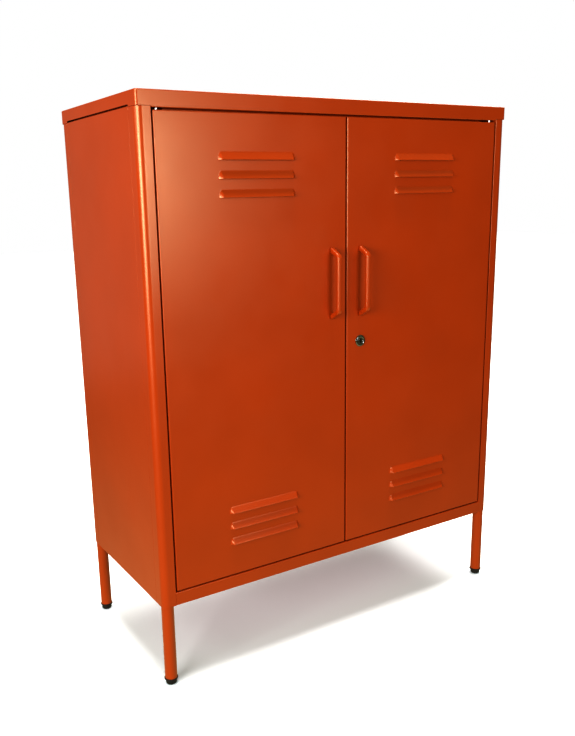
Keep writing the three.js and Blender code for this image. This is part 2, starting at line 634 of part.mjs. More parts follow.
for (const [hand, sign, group] of [['left', -1, leftDoor], ['right', 1, rightDoor]]) {
  const toHand = sign < 0 ? mirrorX : (solid) => solid;
  place(carcass, `${hand}_catch_case`, catchCase(), BLACK, [sign * 75, 0, 0]);
  place(carcass, `${hand}_catch_magnet`, catchMagnet(), FERRITE, [sign * 75, 0, 0]);
  place(carcass, `${hand}_upper_pin`, pivotPin(0), ZINC, [sign * PIVOT_X, PIVOT_Y, OPENING_TOP]);
  const lowerPin = pivotPin(DOOR_BOTTOM_GAP - 0.6).mirror([0, 0, 1]);
  place(carcass, `${hand}_lower_pin`, lowerPin, ZINC, [sign * PIVOT_X, PIVOT_Y, OPENING_BOTTOM]);
  place(group, `${hand}_upper_bush`, pivotBush, NYLON, [sign * PIVOT_X, PIVOT_Y, DOOR_HIGH]);
  place(group, `${hand}_lower_bush`, pivotBush.mirror([0, 0, 1]), NYLON, [sign * PIVOT_X, PIVOT_Y, DOOR_LOW]);
  place(group, `${hand}_door_panel`, toHand(doorPanel(sign > 0)), ORANGE);
  place(group, `${hand}_door_stiffener`, toHand(doorStiffener()), ORANGE);
  place(group, `${hand}_handle`, bridgeHandle(), ORANGE, [sign * HANDLE_X, 0, HANDLE_Z]);
  handleScrewHeights().forEach((z, index) => {
    const end = index === 0 ? 'lower' : 'upper';
    const screw = panScrew(4, 2.4, 1.9, 7).rotate([-90, 0, 0]);
    place(group, `${hand}_handle_${end}_screw`, screw, ZINC, [sign * HANDLE_X, FRONT + SHEET + FIT, z]);
  });
}

place(rightDoor, 'lock_body', lockBody, CHROME, [HANDLE_X, FRONT, LOCK_Z]);
place(rightDoor, 'lock_nut', lockNut, ZINC, [HANDLE_X, FRONT, LOCK_Z]);
place(rightDoor, 'lock_plug', lockPlug, CHROME, [HANDLE_X, FRONT, LOCK_Z]);
place(rightDoor, 'lock_cam', lockCam(), ZINC, [HANDLE_X, FRONT, LOCK_Z]);
const camScrew = panScrew(4.4, 2.2, 1.4, 4.5).rotate([-90, 0, 0]);
place(rightDoor, 'lock_cam_screw', camScrew, ZINC, [HANDLE_X, FRONT - CAM_FRONT + CAM_THICK + FIT, LOCK_Z]);

place(leftDoor, 'door_bolt', doorBolt(), ZINC, [BOLT_X, 0, 0]);
place(leftDoor, 'bolt_guide', boltGuide(), ZINC, [BOLT_X, 0, 0]);

export default locker;
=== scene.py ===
"""Looks of the two-door steel locker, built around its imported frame.

Sizes are in millimetres and turn into metres when a mesh is made. Every piece takes its place from the
box of the CAD node that it stands for.
"""

import json
import math

import bmesh
import bpy
from mathutils import Matrix, Vector

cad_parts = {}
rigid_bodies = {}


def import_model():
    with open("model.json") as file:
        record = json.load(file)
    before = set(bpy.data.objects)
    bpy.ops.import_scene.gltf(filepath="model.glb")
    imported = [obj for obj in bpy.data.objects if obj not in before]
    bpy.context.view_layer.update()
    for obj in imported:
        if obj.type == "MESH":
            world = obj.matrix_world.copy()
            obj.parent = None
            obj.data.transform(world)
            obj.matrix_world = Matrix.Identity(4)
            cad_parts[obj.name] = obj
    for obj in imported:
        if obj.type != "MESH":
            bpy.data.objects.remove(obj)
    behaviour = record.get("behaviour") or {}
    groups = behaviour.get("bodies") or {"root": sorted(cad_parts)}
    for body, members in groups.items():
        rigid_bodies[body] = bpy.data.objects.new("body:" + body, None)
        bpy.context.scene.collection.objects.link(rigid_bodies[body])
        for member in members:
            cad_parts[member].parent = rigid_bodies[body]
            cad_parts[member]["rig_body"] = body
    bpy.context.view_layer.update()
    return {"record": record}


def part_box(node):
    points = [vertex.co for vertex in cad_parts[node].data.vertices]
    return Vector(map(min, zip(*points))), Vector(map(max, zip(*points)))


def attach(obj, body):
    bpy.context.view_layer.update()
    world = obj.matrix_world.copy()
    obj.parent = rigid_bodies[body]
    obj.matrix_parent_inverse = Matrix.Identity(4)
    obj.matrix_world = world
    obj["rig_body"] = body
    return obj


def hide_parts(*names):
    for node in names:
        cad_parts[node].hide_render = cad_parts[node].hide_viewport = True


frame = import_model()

MM = 0.001
TAU = math.tau

# ---- how the pieces are worked ----
GAP = 0.3  # clearance between neighbouring pieces
SNUG_GAP = 0.05  # clearance where daylight would show through the usual one
SHEET = 1.0
THIN_SHEET = 0.8
FOLD = 1.4  # outer radius of a fold
CRISP_FOLD = 0.2
CUT_EDGE = 0.18  # rounding that the coat leaves on a cut edge
FOLD_STEPS = 5
FOLD_ANGLE = 60  # edges sharper than this are folds or cut edges
THROUGH = 3.0  # how far a cutting tool runs past the face that it enters

# ---- driving sizes that a box can't tell ----
POST_ROUND = 12.5
POST_INNER_ROUND = 0.7
POST_SEAM_ROUND = 0.15
POST_RIM = 0.3  # chamfer at the ends of a post
POST_SLOT_HEIGHT = 6.0
POST_SLOT_PITCH = 90.0
CAP_CORNER = 5.0
CAP_FOLD = 1.5
CAP_DOOR_GAP = 3.5  # between the cap's front band and the doors
CAP_SIDE_SLOT = 3.0  # between the cap's side and a side panel
CAP_BACK_LIP = 15.0
CAP_STOP_INSET = 15.0  # from the pivot pins to the ends of the stop lip
SIDE_UPSTAND = 8.0
DECK_WING_GAP = 2.0  # from a post to the part of a shelf or tray that runs under the side panel
TRAY_FRONT_RETURN = 15.0
TRAY_REAR_DROP = 5.0
SHELF_RETURN = 12.0
DOOR_FOLD = 1.8
DOOR_RETURN = 15.0
DOOR_END_RETURN = 18.0
LOUVRE_LENGTH = 150.0
LOUVRE_HEIGHT = 14.0
LOUVRE_REACH = 6.5
LOUVRE_END = 6.5  # width in which the end of a louvre rises
LOUVRE_LIP_ROUND = 1.4
LOUVRE_PITCH = 30.0
LOUVRE_MARGIN = 60.0
LOUVRES = 3
HANDLE_GRIP = 104.0
HANDLE_THICK = 8.0
HANDLE_FOOT = 10.0
HANDLE_ROUND = 3.0
LEG_WALL = 1.2
LEG_HOLE_GAP = 0.2
PIN_RADIUS = 2.4
PIN_LENGTH = 16.0
PIN_HEAD_RADIUS = 4.5
PIN_HEAD_HEIGHT = 2.0
PIN_COLLAR_RADIUS = 3.2
PIN_COLLAR_DEPTH = 1.9
BUSH_BORE = 2.65  # radii of the bush
BUSH_NECK = 4.0
BUSH_COLLAR = 6.0
BARREL_RADIUS = 9.0
THREAD_PITCH = 1.25
THREAD_DEPTH = 0.55
LOCK_HOLE_GAP = 0.4
SHOULDER = -18.5  # where the lock plug's round part gives way to its square
SQUARE_HALF = 3.0

record = frame["record"]
body_of = {node: body for body, nodes in record["behaviour"]["bodies"].items() for node in nodes}
slot_of = {part["node"]: part["material_slot"] for part in record["subparts"]}


class Box:
    """A CAD node's box at rest, in millimetres."""

    def __init__(self, node):
        low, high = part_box(node)
        self.x0, self.y0, self.z0 = (v / MM for v in low)
        self.x1, self.y1, self.z1 = (v / MM for v in high)
        self.x, self.y, self.z = ((a + b) / 2 / MM for a, b in zip(low, high))


FRONT = Box("front_left_post").y0
ACROSS = (0, 0)  # a mirror from one side of the locker to the other


# ---- materials ----
NOISE_LOW, NOISE_HIGH = 0.3, 0.7  # most of a noise lies between these


class Finish:
    """A node material under construction, with its texture coordinates in metres."""

    def __init__(self, name):
        self.material = bpy.data.materials.new(name)
        self.material.use_nodes = True
        self.nodes = self.material.node_tree.nodes
        self.links = self.material.node_tree.links
        self.shader = self.nodes["Principled BSDF"]
        self.place = self.nodes.new("ShaderNodeTexCoord").outputs["Object"]

    def set(self, **values):
        """Sets inputs of the shader by name, with underscores for spaces."""
        for name, value in values.items():
            self.shader.inputs[name.replace("_", " ")].default_value = value

    def noise(self, size_mm, detail=2, stretch=(1, 1, 1)):
        """Noise whose features are about size_mm across, stretched along the axes."""
        mapping = self.nodes.new("ShaderNodeMapping")
        mapping.inputs["Scale"].default_value = [1 / s for s in stretch]
        noise = self.nodes.new("ShaderNodeTexNoise")
        noise.inputs["Scale"].default_value = 1 / (size_mm * MM)
        noise.inputs["Detail"].default_value = detail
        self.links.new(self.place, mapping.inputs["Vector"])
        self.links.new(mapping.outputs["Vector"], noise.inputs["Vector"])
        return noise.outputs["Fac"]

    def colour(self, value, low, high, start=NOISE_LOW, end=NOISE_HIGH):
        """Base colour that goes from one shade to another as the value goes from start to end."""
        ramp = self.nodes.new("ShaderNodeValToRGB")
        for element, position, shade in zip(ramp.color_ramp.elements, (start, end), (low, high)):
            element.position = position
            element.color = (*shade, 1)
        self.links.new(value, ramp.inputs["Fac"])
        self.links.new(ramp.outputs["Color"], self.shader.inputs["Base Color"])

    def roughness(self, value, low, high):
        """Roughness that goes from low to high with the value."""
        mapped = self.nodes.new("ShaderNodeMapRange")
        mapped.inputs["From Min"].default_value = NOISE_LOW
        mapped.inputs["From Max"].default_value = NOISE_HIGH
        mapped.inputs["To Min"].default_value = low
        mapped.inputs["To Max"].default_value = high
        self.links.new(value, mapped.inputs["Value"])
        self.links.new(mapped.outputs["Result"], self.shader.inputs["Roughness"])

    def bump(self, *layers):
        """Bump layers one over the other: each is (height output, depth in mm, strength)."""
        normal = None
        for height, depth_mm, strength in layers:
            bump = self.nodes.new("ShaderNodeBump")
            bump.inputs["Distance"].default_value = depth_mm * MM
            bump.inputs["Strength"].default_value = strength
            self.links.new(height, bump.inputs["Height"])
            if normal:
                self.links.new(normal, bump.inputs["Normal"])
            normal = bump.outputs["Normal"]
        self.links.new(normal, self.shader.inputs["Normal"])


def orange_paint():
    """Satin powder coat: a faint orange peel, slow waves of the sheet, and small changes of gloss."""
    coat = Finish("orange_paint")
    coat.colour(coat.noise(140, detail=3), (0.440, 0.0520, 0.0004), (0.468, 0.0560, 0.0006), 0.35, 0.65)
    coat.roughness(coat.noise(60, detail=4), 0.285, 0.33)
    coat.set(Specular_IOR_Level=0.5, IOR=1.7, Specular_Tint=(1, 0.98, 0.62, 1))
    coat.bump((coat.noise(220, detail=1), 0.5, 0.35), (coat.noise(3.5, detail=1), 0.02, 0.35))
    return coat.material


def zinc():
    """Bright zinc plate, a little cloudy, with fine drag marks."""
    plate = Finish("zinc")
    plate.colour(plate.noise(6, detail=3), (0.56, 0.57, 0.58), (0.74, 0.74, 0.72), 0.35, 0.65)
    plate.roughness(plate.noise(2.5, detail=4), 0.26, 0.42)
    plate.set(Metallic=1.0)
    plate.bump((plate.noise(0.35, stretch=(1, 1, 12)), 0.01, 0.4))
    return plate.material


def chrome():
    """Polished chrome with faint wiping haze."""
    plate = Finish("chrome")
    plate.colour(plate.noise(5), (0.24, 0.25, 0.25), (0.31, 0.32, 0.32))
    plate.roughness(plate.noise(2.0, detail=4), 0.05, 0.11)
    plate.set(Metallic=1.0)
    plate.bump((plate.noise(0.5), 0.003, 0.3))
    return plate.material


def black_plastic():
    """Moulded black polyethylene with a fine spark-eroded grain."""
    plastic = Finish("black_plastic")
    plastic.colour(plastic.noise(9, detail=3), (0.008, 0.008, 0.009), (0.016, 0.016, 0.017))
    plastic.roughness(plastic.noise(3, detail=4), 0.42, 0.58)
    plastic.bump((plastic.noise(0.4, detail=3), 0.03, 0.5))
    return plastic.material


def nylon():
    """Natural nylon: milky, slightly waxy."""
    resin = Finish("nylon")
    resin.colour(resin.noise(4, detail=3), (0.74, 0.70, 0.60), (0.82, 0.80, 0.72))
    resin.roughness(resin.noise(1.5, detail=3), 0.36, 0.5)
    resin.set(Subsurface_Weight=0.2, Subsurface_Scale=0.002)
    resin.bump((resin.noise(0.6), 0.02, 0.4))
    return resin.material


def ferrite():
    """Sintered ferrite: dark, dull and grainy."""
    magnet = Finish("ferrite")
    magnet.colour(magnet.noise(0.8, detail=4), (0.030, 0.028, 0.028), (0.070, 0.064, 0.062))
    magnet.roughness(magnet.noise(1.2, detail=3), 0.6, 0.8)
    magnet.set(Metallic=0.2)
    magnet.bump((magnet.noise(0.3, detail=3), 0.05, 0.6))
    return magnet.material


finishes = {make.__name__: make() for make in (orange_paint, zinc, chrome, black_plastic, nylon, ferrite)}


# ---- mesh making ----
def new_object(name, bm):
    mesh = bpy.data.meshes.new(name)
    bm.to_mesh(mesh)
    bm.free()
    obj = bpy.data.objects.new(name, mesh)
    bpy.context.scene.collection.objects.link(obj)
    return obj


def solid(name, points, faces):
    """A closed mesh from points in millimetres."""
    bm = bmesh.new()
    vertices = [bm.verts.new(Vector(p) * MM) for p in points]
    for face in faces:
        bm.faces.new([vertices[i] for i in face])
    bmesh.ops.recalc_face_normals(bm, faces=bm.faces)
    return new_object(name, bm)


def apply_modifiers(obj):
    """Turns what the modifiers make into the object's own mesh."""
    depsgraph = bpy.context.evaluated_depsgraph_get()
    mesh = bpy.data.meshes.new_from_object(obj.evaluated_get(depsgraph))
    obj.modifiers.clear()
    old, obj.data = obj.data, mesh
    bpy.data.meshes.remove(old)
    return obj


def modify(obj, kind, **settings):
    modifier = obj.modifiers.new(kind.lower(), kind)
    for name, value in settings.items():
        setattr(modifier, name, value)
    return obj


def bevelled(obj, width, segments=3, angle=FOLD_ANGLE):
    """Rounds every edge sharper than the angle."""
    modify(
        obj, "BEVEL", width=width * MM, segments=segments, limit_method="ANGLE",
        angle_limit=math.radians(angle), use_clamp_overlap=False, miter_outer="MITER_ARC",
    )
    return apply_modifiers(obj)


def smoothed(obj, angle=38):
    """Smooth shading with sharp edges kept and flat faces flat."""
    obj.data.shade_smooth()
    obj.data.set_sharp_from_angle(angle=math.radians(angle))
    modify(obj, "WEIGHTED_NORMAL", keep_sharp=True, weight=80)
    return apply_modifiers(obj)


def combine(obj, operation, *tools):
    """Boolean of the object with each tool, which is used up."""
    for tool in tools:
        modify(obj, "BOOLEAN", operation=operation, object=tool, solver="EXACT")
        apply_modifiers(obj)
        bpy.data.meshes.remove(tool.data)
    return obj


def cut(obj, *tools):
    return combine(obj, "DIFFERENCE", *tools)


def block(x0, x1, y0, y1, z0, z1):
    points = [(x, y, z) for x in (x0, x1) for y in (y0, y1) for z in (z0, z1)]
    faces = [(0, 1, 3, 2), (4, 6, 7, 5), (0, 4, 5, 1), (2, 3, 7, 6), (0, 2, 6, 4), (1, 5, 7, 3)]
    return solid("block", points, faces)


def loft(name, rings, closed=False):
    """Skin over rings of equal length. Its ends are closed by flat faces, or joined when closed is true."""
    count = len(rings[0])
    points = [p for ring in rings for p in ring]
    faces = []
    pairs = len(rings) if closed else len(rings) - 1
    for i in range(pairs):
        a, b = i * count, ((i + 1) % len(rings)) * count
        for k in range(count):
            n = (k + 1) % count
            faces.append((a + k, a + n, b + n, b + k))
    if not closed:
        faces.append(tuple(range(count)))
        faces.append(tuple(range((len(rings) - 1) * count, len(rings) * count)))
    return solid(name, points, faces)


def arc(cx, cy, radius, start, turn, steps):
    """Points on an arc, angles in radians."""
    angles = [start + turn * k / steps for k in range(steps + 1)]
    return [(cx + radius * math.cos(a), cy + radius * math.sin(a)) for a in angles]


def rounded_rect(x0, x1, y0, y1, radii, steps=6):
    """Outline with its own radius at each corner, counter-clockwise from the low corner."""
    a, b, c, d = radii
    quarter = TAU / 4
    return (
        arc(x0 + a, y0 + a, a, 2 * quarter, quarter, steps)
        + arc(x1 - b, y0 + b, b, 3 * quarter, quarter, steps)
        + arc(x1 - c, y1 - c, c, 0, quarter, steps)
        + arc(x0 + d, y1 - d, d, quarter, quarter, steps)
    )


def softened(points, radii, steps=4, closed=True):
    """A 2D outline with its corners rounded. radii is one number, or one for each point."""
    radii = radii if isinstance(radii, (list, tuple)) else [radii] * len(points)
    result = []
    last = len(points) - 1
    for i, (point, radius) in enumerate(zip(points, radii)):
        if radius <= 0 or (not closed and i in (0, last)):
            result.append(point)
            continue
        corner = Vector(point)
        before = (Vector(points[i - 1]) - corner).normalized()
        after = (Vector(points[(i + 1) % len(points)]) - corner).normalized()
        half = before.angle(after) / 2
        reach = radius / math.tan(half)
        centre = corner + (before + after).normalized() * radius / math.sin(half)
        start = corner + before * reach - centre
        end = corner + after * reach - centre
        turn = start.angle_signed(end)
        for k in range(steps + 1):
            spoke = start.copy()
            spoke.rotate(Matrix.Rotation(-turn * k / steps, 2))
            result.append(tuple(centre + spoke))
    return result


def extruded(name, outline, along, low, high):
    """A 2D outline pushed along an axis: 'x' takes (y, z), 'y' takes (x, z) and 'z' takes (x, y)."""
    in_space = {
        "x": lambda p, s: (s, p[0], p[1]),
        "y": lambda p, s: (p[0], s, p[1]),
        "z": lambda p, s: (p[0], p[1], s),
    }[along]
    return loft(name, [[in_space(p, s) for p in outline] for s in (low, high)])


def folded_strip(line, thickness, bend, steps=FOLD_STEPS):
    """Section of a folded sheet, from the line along its middle. bend is the radius at the middle."""
    stations = []
    middle = softened(line, bend, steps, closed=False)
    for i, point in enumerate(middle):
        before = Vector(middle[max(i - 1, 0)])
        after = Vector(middle[min(i + 1, len(middle) - 1)])
        along = (after - before).normalized()
        stations.append((Vector(point), Vector((-along.y, along.x))))
    near = [tuple(p + n * thickness / 2) for p, n in stations]
    far = [tuple(p - n * thickness / 2) for p, n in reversed(stations)]
    return near + far


def turned(name, profile, sides=48, closed=False, wave=None):
    """A turned piece about Z from (radius, height) points. A closed profile makes a ring or a tube.
    wave(angle, height, radius) adds to the radius."""
    rings = []
    for radius, height in profile:
        ring = []
        for k in range(sides):
            angle = TAU * k / sides
            r = max(radius, 0.001) + (wave(angle, height, radius) if wave else 0)
            ring.append((r * math.cos(angle), r * math.sin(angle), height))
        rings.append(ring)
    return loft(name, rings, closed)


def drill(radius, low, high, sides=48):
    """Round cutting tool about Z."""
    return turned("drill", [(radius, low), (radius, high)], sides)


def moved(obj, *, to=(0, 0, 0), turn=None):
    """Turns the mesh, given as an axis and degrees, and then moves it by a millimetre vector."""
    matrix = Matrix.Translation(Vector(to) * MM)
    if turn:
        matrix = matrix @ Matrix.Rotation(math.radians(turn[1]), 4, turn[0])
    obj.data.transform(matrix)
    return obj


def copied(obj, name, to=(0, 0, 0), mirror=None):
    """A copy moved by a millimetre vector, or mirrored: mirror is (axis number, place in millimetres)."""
    other = bpy.data.objects.new(name, obj.data.copy())
    bpy.context.scene.collection.objects.link(other)
    if mirror:
        axis, plane = mirror
        matrix = Matrix.Identity(4)
        matrix[axis][axis] = -1
        matrix[axis][3] = 2 * plane * MM
        other.data.transform(matrix)
        other.data.flip_normals()
    other.data.transform(Matrix.Translation(Vector(to) * MM))
    return other


def sheet(name, faces, outward, fold=FOLD, thickness=SHEET, edge=CUT_EDGE):
    """Folded sheet from the flat faces of its outer skin. Faces that share an edge are folded there.
    outward is the direction that the largest face looks."""
    bm = bmesh.new()
    for face in faces:
        bm.faces.new([bm.verts.new(Vector(p) * MM) for p in face])
    bmesh.ops.remove_doubles(bm, verts=bm.verts, dist=0.02 * MM)
    bmesh.ops.recalc_face_normals(bm, faces=bm.faces)
    largest = max(bm.faces, key=lambda f: f.calc_area())
    if largest.normal.dot(Vector(outward)) < 0:
        bmesh.ops.reverse_faces(bm, faces=bm.faces)
    obj = new_object(name, bm)
    bevelled(obj, fold, FOLD_STEPS)
    modify(
        obj, "SOLIDIFY", thickness=thickness * MM, offset=-1, use_even_offset=True,
        use_quality_normals=True, use_rim=True,
    )
    apply_modifiers(obj)
    return bevelled(obj, edge, 2) if edge else obj


def place(obj, node):
    """The object stands for the CAD node: it rides on the node's body and takes the slot's finish."""
    obj.name = obj.data.name = f"{node}_form"
    obj.data.materials.clear()
    obj.data.materials.append(finishes[slot_of[node]])
    smoothed(obj)
    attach(obj, body_of[node])
    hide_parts(node)
    return obj


# ---- carcass ----
CORNERS = [(row, hand) for row in ("front", "rear") for hand in ("left", "right")]
CARCASS_MIDDLE_Y = (Box("front_left_post").y0 + Box("rear_left_post").y1) / 2


def to_corner(obj, row, hand, name):
    """A copy of a front left piece, at another corner of the carcass."""
    result = copied(obj, name)
    if hand == "right":
        result = copied(result, name, mirror=ACROSS)
    if row == "rear":
        result = copied(result, name, mirror=(1, CARCASS_MIDDLE_Y))
    return result


def clear_unused():
    """Removes meshes and objects that were only steps on the way to a piece."""
    for obj in list(bpy.data.objects):
        if obj.type == "MESH" and "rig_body" not in obj and "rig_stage" not in obj:
            bpy.data.objects.remove(obj)
    for mesh in list(bpy.data.meshes):
        if mesh.users == 0:
            bpy.data.meshes.remove(mesh)


def corner_post():
    """Hollow folded post with a round outer corner, slots for the shelf clips and a hole for its leg."""
    box = Box("front_left_post")
    leg_box = Box("front_left_leg")
    radii = [POST_ROUND, POST_INNER_ROUND, POST_INNER_ROUND, POST_SEAM_ROUND]
    smallest_round = 0.08

    def ring(inset, z):
        rounds = [max(r - inset, smallest_round) for r in radii]
        outline = rounded_rect(box.x0 + inset, box.x1 - inset, box.y0 + inset, box.y1 - inset, rounds, 10)
        return [(x, y, z) for x, y in outline]

    post = loft("post", [
        ring(POST_RIM, box.z0),
        ring(POST_RIM * 0.3, box.z0 + POST_RIM * 0.3),
        ring(0, box.z0 + POST_RIM),
        ring(0, box.z1 - POST_RIM),
        ring(POST_RIM, box.z1),
        ring(SHEET, box.z1 - 0.05),
        ring(SHEET, box.z0 + SHEET),
    ])
    leg_radius = (leg_box.x1 - leg_box.x0) / 2
    hole = drill(leg_radius + LEG_HOLE_GAP, box.z0 - THROUGH, box.z0 + THROUGH)
    moved(hole, to=(leg_box.x, leg_box.y, 0))
    slots = []
    clip = Box("lower_clip_front_left")
    levels = [Box(f"{name}_clip_front_left").z0 for name in ("lower", "upper")]
    z = Box("bottom_tray").z1 + POST_SLOT_PITCH
    while z < box.z1 - POST_SLOT_PITCH:
        levels.append(z)
        z += POST_SLOT_PITCH
    for z in levels:
        outline = rounded_rect(clip.x0 - 0.5, clip.x1 + 0.5, z, z + POST_SLOT_HEIGHT, [0.8] * 4, 3)
        slots.append(extruded("slot", outline, "y", box.y1 - THROUGH, box.y1 + THROUGH))
    return cut(post, hole, *slots)


def side_panel():
    """A shallow pan. Its head turns up inside the cap, so that no light comes in over it."""
    box = Box("left_side_panel")
    x, lap, y0, y1, z0, z1 = box.x0, box.x1, box.y0, box.y1, box.z0, box.z1
    upstand = z1 + SIDE_UPSTAND
    faces = [
        [(x, y0, z0), (x, y1, z0), (x, y1, z1), (x, y0, z1)],
        [(x, y0, z0), (x, y0, z1), (lap, y0, z1), (lap, y0, z0)],
        [(x, y1, z0), (x, y1, z1), (lap, y1, z1), (lap, y1, z0)],
        [(x, y0, z0), (x, y1, z0), (lap, y1, z0), (lap, y0, z0)],
        [(x, y0, z1), (x, y1, z1), (lap, y1, z1), (lap, y0, z1)],
        [(lap, y0, z1), (lap, y1, z1), (lap, y1, upstand), (lap, y0, upstand)],
    ]
    return sheet("side", faces, (-1, 0, 0), fold=CRISP_FOLD, thickness=THIN_SHEET, edge=0)


def back_panel():
    """A plain sheet with its two upright edges folded forward. It reaches close up to the cap."""
    box = Box("back_panel")
    y, deep, low, high = box.y1, box.y0, box.z0, box.z1 + GAP - SNUG_GAP
    faces = [[(box.x0, y, low), (box.x1, y, low), (box.x1, y, high), (box.x0, y, high)]]
    for x in (box.x0, box.x1):
        faces.append([(x, y, low), (x, y, high), (x, deep, high), (x, deep, low)])
    return sheet("back", faces, (0, 1, 0), thickness=THIN_SHEET, edge=0.1)


def deck(box, nose_x, tail_x, wing_y0, wing_y1, rear_low, front_return, side_return):
    """A flat shelf or floor between the posts, with its edges folded down. The nose is the part between
    the front posts and the tail is the part between the rear ones; the wings run under the side panels."""
    wing_x, nose_y, tail_y, low, top = box.x1, box.y0, box.y1, box.z0, box.z1
    nose = [(-nose_x, nose_y), (nose_x, nose_y)]
    if nose_y < wing_y0:
        nose = [(-nose_x, wing_y0), *nose, (nose_x, wing_y0)]
    outline = [
        *nose, (wing_x, wing_y0), (wing_x, wing_y1), (tail_x, wing_y1), (tail_x, tail_y),
        (-tail_x, tail_y), (-tail_x, wing_y1), (-wing_x, wing_y1), (-wing_x, wing_y0),
    ]
    faces = [[(x, y, top) for x, y in outline]]

    def skirt(a, b, inward, width, depth):
        """The edge from a to b folded down to a depth, and then in by a width."""
        faces.append([(*a, top), (*b, top), (*b, depth), (*a, depth)])
        if width:
            far_a, far_b = ((x + inward[0] * width, y + inward[1] * width, depth) for x, y in (a, b))
            faces.append([(*a, depth), (*b, depth), far_b, far_a])

    skirt((-nose_x, nose_y), (nose_x, nose_y), (0, 1), front_return, low)
    skirt((-tail_x, tail_y), (tail_x, tail_y), (0, -1), 0, rear_low)
    for x, inward in ((-wing_x, (1, 0)), (wing_x, (-1, 0))):
        skirt((x, wing_y0), (x, wing_y1), inward, side_return, max(low, rear_low))
    return sheet("deck", faces, (0, 0, 1))


def bottom_tray():
    """Floor of the locker. Its front runs snugly between the posts, under the doors."""
    box, post, rear = Box("bottom_tray"), Box("front_left_post"), Box("rear_left_post")
    return deck(
        box, -post.x1 - SNUG_GAP, -rear.x1 - GAP - SHEET, post.y1 + DECK_WING_GAP, rear.y0 - DECK_WING_GAP,
        rear_low=box.z0 + TRAY_REAR_DROP, front_return=TRAY_FRONT_RETURN, side_return=0,
    )


def shelf():
    """Shelf that rests on its clips behind the front posts."""
    box, post, rear = Box("lower_shelf"), Box("front_left_post"), Box("rear_left_post")
    return deck(
        box, -post.x1 - GAP - SHEET, -rear.x1 - GAP - SHEET, box.y0, rear.y0 - DECK_WING_GAP,
        rear_low=box.z0, front_return=SHELF_RETURN, side_return=SHELF_RETURN,
    )


def top_cap():
    """The cap is cut low enough at the sides to leave a shadow slot over the side panels. Under its front
    band it folds in over the doors, and then down behind them as a stop lip."""
    box, post, rear = Box("top_cap"), Box("front_left_post"), Box("rear_left_post")
    door, pin = Box("right_door_panel"), Box("right_upper_pin")
    top = box.z1
    over_post = post.z1 + GAP
    band = door.z1 + CAP_DOOR_GAP
    over_side = Box("left_side_panel").z1 + CAP_SIDE_SLOT
    rail_x = -post.x1 - GAP
    r = CAP_CORNER
    x0, x1, y0, y1 = box.x0 + r, box.x1 - r, box.y0 + r, box.y1 - r
    centres = ((x0, y0), (x1, y0), (x1, y1), (x0, y1))
    corners = [arc(x, y, r, (2 + i) * TAU / 4, TAU / 4, 6) for i, (x, y) in enumerate(centres)]
    # the skirt all round: each stretch of the outline, and how low its first edge reaches
    stretches = [
        (corners[0], over_post), ([(-rail_x, box.y0), (rail_x, box.y0)], band),
        (corners[1], over_post), ([(box.x1, post.y1), (box.x1, rear.y0)], over_side),
        (corners[2], over_post), ([(rail_x, box.y1), (-rail_x, box.y1)], band),
        (corners[3], over_post), ([(box.x0, rear.y0), (box.x0, post.y1)], over_side),
    ]
    outline = [point for points, low in stretches for point in points]
    lows = [depth for points, low in stretches for depth in (low, *[over_post] * (len(points) - 1))]
    faces = [[(x, y, top) for x, y in outline]]
    for i, (a, low) in enumerate(zip(outline, lows)):
        following = (i + 1) % len(outline)
        b = outline[following]
        face = [(*a, top), (*b, top), (*b, low), (*a, low)]
        if lows[i - 1] > low:
            face.append((*a, lows[i - 1]))
        if lows[following] > low:
            face.insert(2, (*b, lows[following]))
        faces.append(face)
    lip_x, lip_y = pin.x - CAP_STOP_INSET, door.y1 + GAP
    back_y = box.y1 - CAP_BACK_LIP
    front_return = [
        (-rail_x, box.y0), (rail_x, box.y0), (rail_x, lip_y),
        (lip_x, lip_y), (-lip_x, lip_y), (-rail_x, lip_y),
    ]
    stop_lip = [(-lip_x, band), (lip_x, band), (lip_x, box.z0), (-lip_x, box.z0)]
    back_return = [(-rail_x, box.y1), (rail_x, box.y1), (rail_x, back_y), (-rail_x, back_y)]
    faces.append([(x, y, band) for x, y in front_return])
    faces.append([(x, lip_y, z) for x, z in stop_lip])
    faces.append([(x, y, band) for x, y in back_return])
    cap = sheet("cap", faces, (0, 0, 1), fold=CAP_FOLD)
    holes = [
        moved(drill(PIN_RADIUS + GAP, band - THROUGH, band + THROUGH, 24), to=(x, pin.y, 0))
        for x in (pin.x, -pin.x)
    ]
    return cut(cap, *holes)


def leg():
    """Tube with its ends deburred."""
    box = Box("front_left_leg")
    radius = (box.x1 - box.x0) / 2
    profile = softened([
        (radius - LEG_WALL, box.z0), (radius, box.z0), (radius, box.z1), (radius - LEG_WALL, box.z1),
    ], 0.25, 3)
    return moved(turned("leg", profile, 56, closed=True), to=(box.x, box.y, 0))


def foot():
    """Glide foot pressed into the leg: a rounded pad, a flange, and a plug inside the tube."""
    box, tube = Box("front_left_foot"), Box("front_left_leg")
    flange = (box.x1 - box.x0) / 2
    inside = (tube.x1 - tube.x0) / 2 - LEG_WALL - GAP
    under = tube.z0 - GAP
    profile = softened([
        (0, 0), (8.4, 0), (9.9, 2.2), (10.2, under - 2.6), (flange, under - 2.2), (flange, under),
        (inside, under), (inside, box.z1), (0, box.z1),
    ], [0, 1.0, 1.2, 0.5, 0.6, 0.4, 0.3, 1.5, 0], 4)
    return moved(turned("foot", profile, 56), to=(box.x, box.y, 0))


